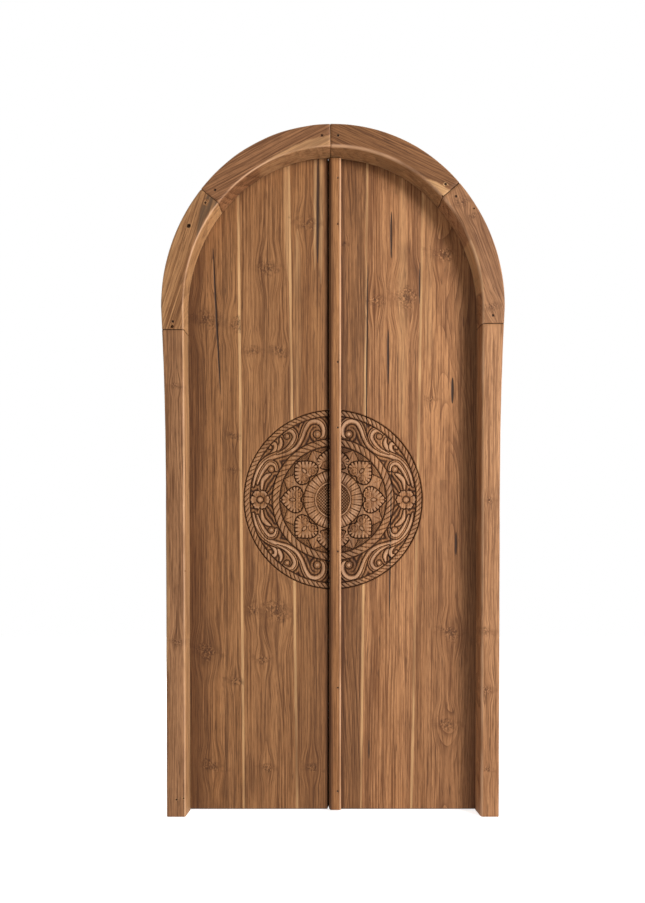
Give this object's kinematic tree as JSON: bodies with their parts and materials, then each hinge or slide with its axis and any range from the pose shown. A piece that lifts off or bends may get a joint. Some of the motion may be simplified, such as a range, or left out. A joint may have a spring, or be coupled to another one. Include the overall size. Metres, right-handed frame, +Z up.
{
  "type": "arched carved door",
  "caption": "Arched plank door with paired leaves in a pegged teak frame, a round carved lotus medallion across the meeting line and a cover strip beside it; the leaves swing back on hinges.",
  "frame": {"origin": "on the floor line, at the middle of the door's width and of its depth", "axes": "+X to the right as seen from the carved front, +Y to the back, +Z up; the front faces -Y"},
  "size_m": [1.206, 0.149, 2.432],
  "materials": {
    "frame_teak": "oiled, worn",
    "plank_teak": "oiled, with knots and pale sapwood",
    "strip_teak": "oiled, rounded",
    "ledge_teak": "plain sawn",
    "joinery_teak": "plain",
    "hinge_iron": "dark, worn",
    "nail_iron": "dark"
  },
  "bodies": {
    "frame": {"crown_tenon": "joinery_teak", "frame_pegs": "joinery_teak", "left_hinge_frame_plates": "hinge_iron", "left_jamb": "frame_teak", "left_lower_arch_segment": "frame_teak", "left_shoulder_tenon": "joinery_teak", "left_springing_tenon": "joinery_teak", "left_upper_arch_segment": "frame_teak", "right_hinge_frame_plates": "hinge_iron", "right_jamb": "frame_teak", "right_lower_arch_segment": "frame_teak", "right_shoulder_tenon": "joinery_teak", "right_springing_tenon": "joinery_teak", "right_upper_arch_segment": "frame_teak"},
    "left_leaf": {"left_hinge_leaf_plates": "hinge_iron", "left_inner_plank": "plank_teak", "left_inner_tongue": "joinery_teak", "left_lower_ledge": "ledge_teak", "left_middle_ledge": "ledge_teak", "left_middle_plank": "plank_teak", "left_outer_plank": "plank_teak", "left_outer_tongue": "joinery_teak", "left_upper_ledge": "ledge_teak"},
    "right_leaf": {"cover_strip": "strip_teak", "cover_strip_brads": "nail_iron", "right_hinge_leaf_plates": "hinge_iron", "right_inner_plank": "plank_teak", "right_inner_tongue": "joinery_teak", "right_lower_ledge": "ledge_teak", "right_middle_ledge": "ledge_teak", "right_middle_plank": "plank_teak", "right_outer_plank": "plank_teak", "right_outer_tongue": "joinery_teak", "right_upper_ledge": "ledge_teak"}
  },
  "joints": [
    {"name": "left_leaf_hinge", "type": "hinge", "parent": "frame", "child": "left_leaf", "pos_m": [-0.5325, 0.058, 0.24], "axis": [0, 0, 1], "range_deg": [0, 110]},
    {"name": "right_leaf_hinge", "type": "hinge", "parent": "frame", "child": "right_leaf", "pos_m": [0.5325, 0.058, 0.24], "axis": [0, 0, -1], "range_deg": [0, 110]}
  ]
}
